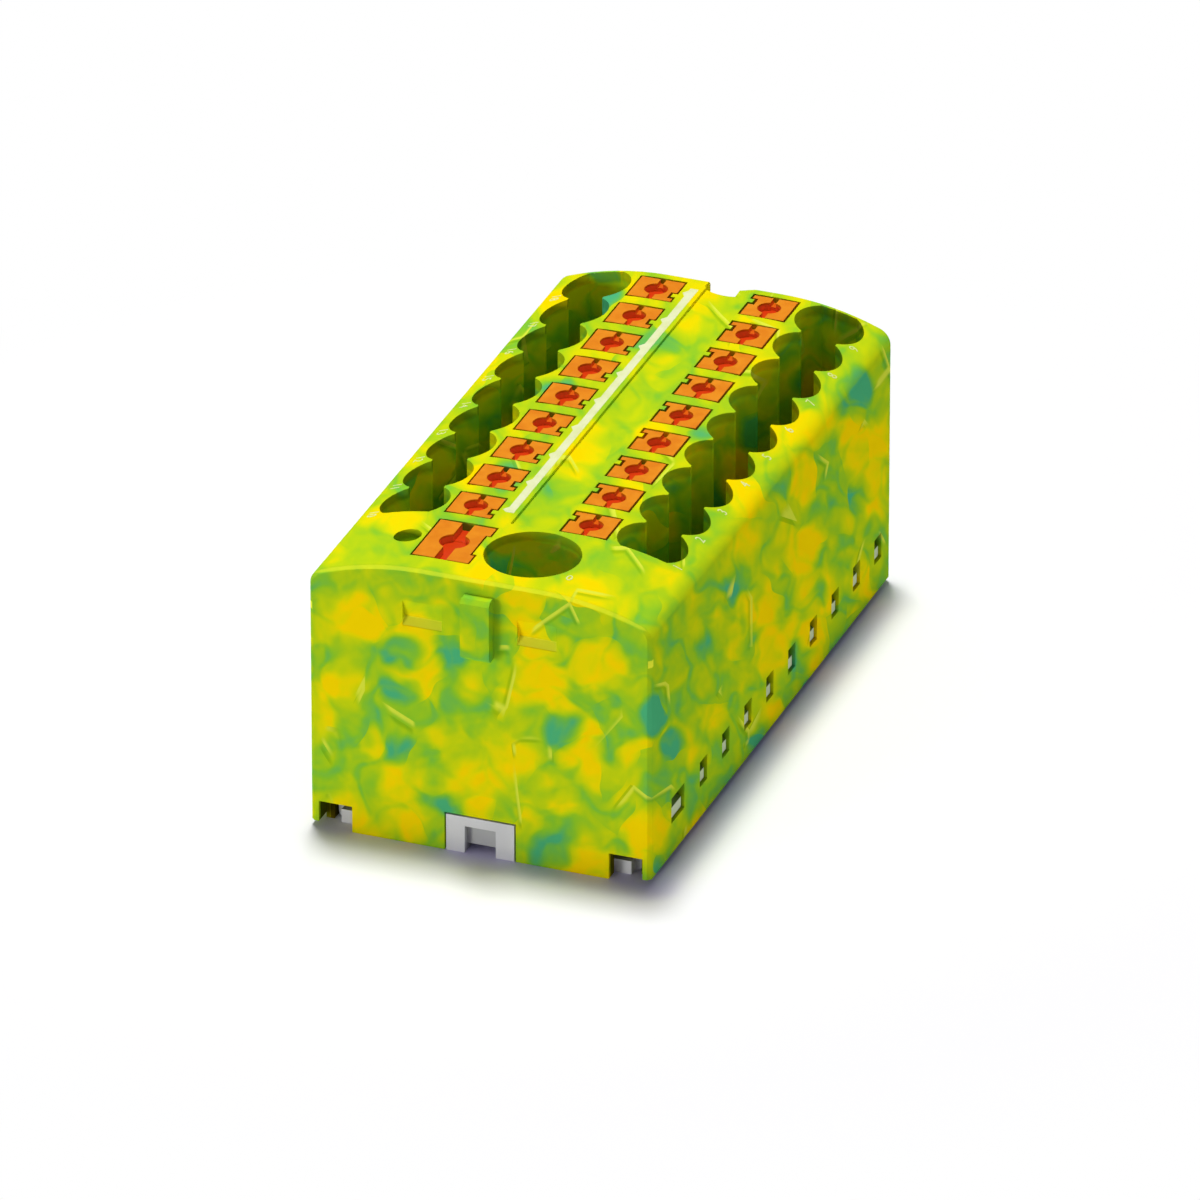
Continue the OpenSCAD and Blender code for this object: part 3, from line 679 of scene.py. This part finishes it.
def make_floor():
    """A wide plane just below the block."""
    half = FLOOR_SIZE / 2
    mesh = bpy.data.meshes.new("floor")
    corners = [(-half, -half, 0), (half, -half, 0), (half, half, 0), (-half, half, 0)]
    mesh.from_pydata(corners, [], [(0, 1, 2, 3)])
    mesh.materials.append(floor_material())
    floor = place("floor", mesh)
    floor.location.z = cad_low.z - FLOOR_DROP


def make_lamp(name, at, size, power):
    """A soft box that faces the part."""
    lamp = bpy.data.lights.new(name, "AREA")
    lamp.shape = "RECTANGLE"
    lamp.size, lamp.size_y = size
    lamp.energy = power
    made = place(name, lamp)
    made.location = at
    made.rotation_euler = (-at).to_track_quat("-Z", "Y").to_euler()


def make_camera():
    """The photograph's camera."""
    sin_a, cos_a = math.sin(CAMERA_AZIMUTH), math.cos(CAMERA_AZIMUTH)
    sin_e, cos_e = math.sin(CAMERA_ELEVATION), math.cos(CAMERA_ELEVATION)
    right = Vector((cos_a, sin_a, 0))
    up = Vector((-sin_a * sin_e, cos_a * sin_e, cos_e))
    back = right.cross(up)
    target = Vector((0, 0, CAMERA_TARGET_Z))
    spot = target + CAMERA_DISTANCE * back + CAMERA_SLIDE_RIGHT * right + CAMERA_SLIDE_UP * up
    lens = bpy.data.cameras.new("camera")
    lens.sensor_width = CAMERA_SENSOR
    lens.lens = CAMERA_LENS
    camera = place("camera", lens)
    turned = Matrix((right, up, back)).transposed().to_4x4()
    camera.matrix_world = Matrix.Translation(spot) @ turned
    bpy.context.scene.camera = camera


def crown_height(x):
    """Height of the crown's surface at a distance from the middle plane."""
    past = max(0.0, abs(x) - CROWN_FLAT)
    return CROWN_Z - CROWN_R + math.sqrt(CROWN_R ** 2 - past ** 2)


def finish_piece(name, bm, material):
    """Turns a built mesh into a piece that rides on the block."""
    bmesh.ops.recalc_face_normals(bm, faces=bm.faces)
    mesh = bpy.data.meshes.new(name)
    bm.to_mesh(mesh)
    bm.free()
    mesh.materials.append(material)
    piece = place(name, mesh)
    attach(piece, "block")


def middle_y(node):
    """The middle of a node along the block."""
    low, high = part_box(node)
    return (low.y + high.y) / 2


def printed_line(rows, material):
    """A line beside the left row, with a pointed stub at each button."""
    left, right = LINE_X
    front = rows[0] - LINE_FRONT
    rear = rows[-1] + LINE_REAR
    outline = [(right, front), (right, rear), (left, rear)]
    for y in reversed(rows):
        half = STUB_LENGTH / 2
        outline += [(left, y + half), (left - STUB_REACH, y), (left, max(front, y - half))]
    bm = bmesh.new()
    corners = [bm.verts.new((x, y, CROWN_Z)) for x, y in outline]
    face = bm.faces.new(corners)
    raised = bmesh.ops.extrude_face_region(bm, geom=[face])["geom"]
    moved = [part for part in raised if isinstance(part, bmesh.types.BMVert)]
    bmesh.ops.translate(bm, verts=moved, vec=(0, 0, PRINT_THICKNESS))
    finish_piece("printed_line", bm, material)


def number_mesh(text):
    """The outline of a number as a thin solid about the origin."""
    curve = bpy.data.curves.new("number", "FONT")
    curve.body = text
    curve.size = NUMBER_HEIGHT
    curve.align_x = "CENTER"
    curve.align_y = "CENTER"
    curve.extrude = PRINT_THICKNESS / 2
    curve.resolution_u = 4
    holder = place("number", curve)
    mesh = bpy.data.meshes.new_from_object(holder)
    bpy.data.objects.remove(holder)
    bpy.data.curves.remove(curve)
    return mesh


def printed_numbers(material):
    """Counts the terminals, each number read from its own side of the block, and the supply as 0."""
    bm = bmesh.new()
    openings = frame["record"]["physics"]["openings"]
    spots = [("0", *SUPPLY_NUMBER_AT, 0.0)]
    for count, opening in enumerate(openings, 1):
        low, high = opening["box_m"]
        middle = (Vector(low) + Vector(high)) / 2
        side = math.copysign(1, middle.x)
        spots.append((str(count), side * NUMBER_X, middle.y - NUMBER_AHEAD, side * math.pi / 2))
    for text, x, y, turn in spots:
        mesh = number_mesh(text)
        mesh.transform(Matrix.Translation((x, y, PRINT_THICKNESS / 2)) @ Matrix.Rotation(turn, 4, "Z"))
        for vertex in mesh.vertices:
            vertex.co.z += crown_height(vertex.co.x)
        bm.from_mesh(mesh)
        bpy.data.meshes.remove(mesh)
    finish_piece("printed_numbers", bm, material)


def dress(prefix, material):
    """Gives a material to every CAD node whose name starts with the prefix."""
    for name, node in frame["nodes"].items():
        if name.startswith(prefix):
            node.data.materials.clear()
            node.data.materials.append(material)


def shortening_springs():
    """Puts a copy of each spring that a joint lists as deforming in its place, riding on the block, and hides the
    CAD spring.
    """
    for joint in frame["joints"]:
        for spring in joint.get("deforming_nodes", []):
            node = spring["node"]
            piece = place(f"{node}_strip", frame["nodes"][node].data.copy())
            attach(piece, "block")
            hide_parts(node)
            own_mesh(piece)


bpy.context.scene.view_settings.view_transform = "Standard"
make_world()
make_floor()
make_lamp("key", KEY_AT, KEY_SIZE, KEY_POWER)
make_lamp("front_fill", FRONT_FILL_AT, FILL_SIZE, FRONT_FILL_POWER)
make_lamp("right_fill", RIGHT_FILL_AT, FILL_SIZE, RIGHT_FILL_POWER)
make_camera()

dress("housing", marbled_plastic())
dress("base_cover", base_plastic())
dress("busbar", metal("tinned_copper", *TINNED_COPPER))
spring_steel = metal("spring_steel", *SPRING_STEEL)
dress("supply_spring", spring_steel)
dress("load_spring", spring_steel)
shortening_springs()
orange = button_plastic(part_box("supply_button")[1].z)
dress("supply_button", orange)
dress("load_button", orange)

left_row = [middle_y(f"load_button_{count:02d}") for count in LINE_BUTTONS]
printed_line(left_row, print_ink("line_ink", LINE_INK))
printed_numbers(print_ink("number_ink", NUMBER_INK))
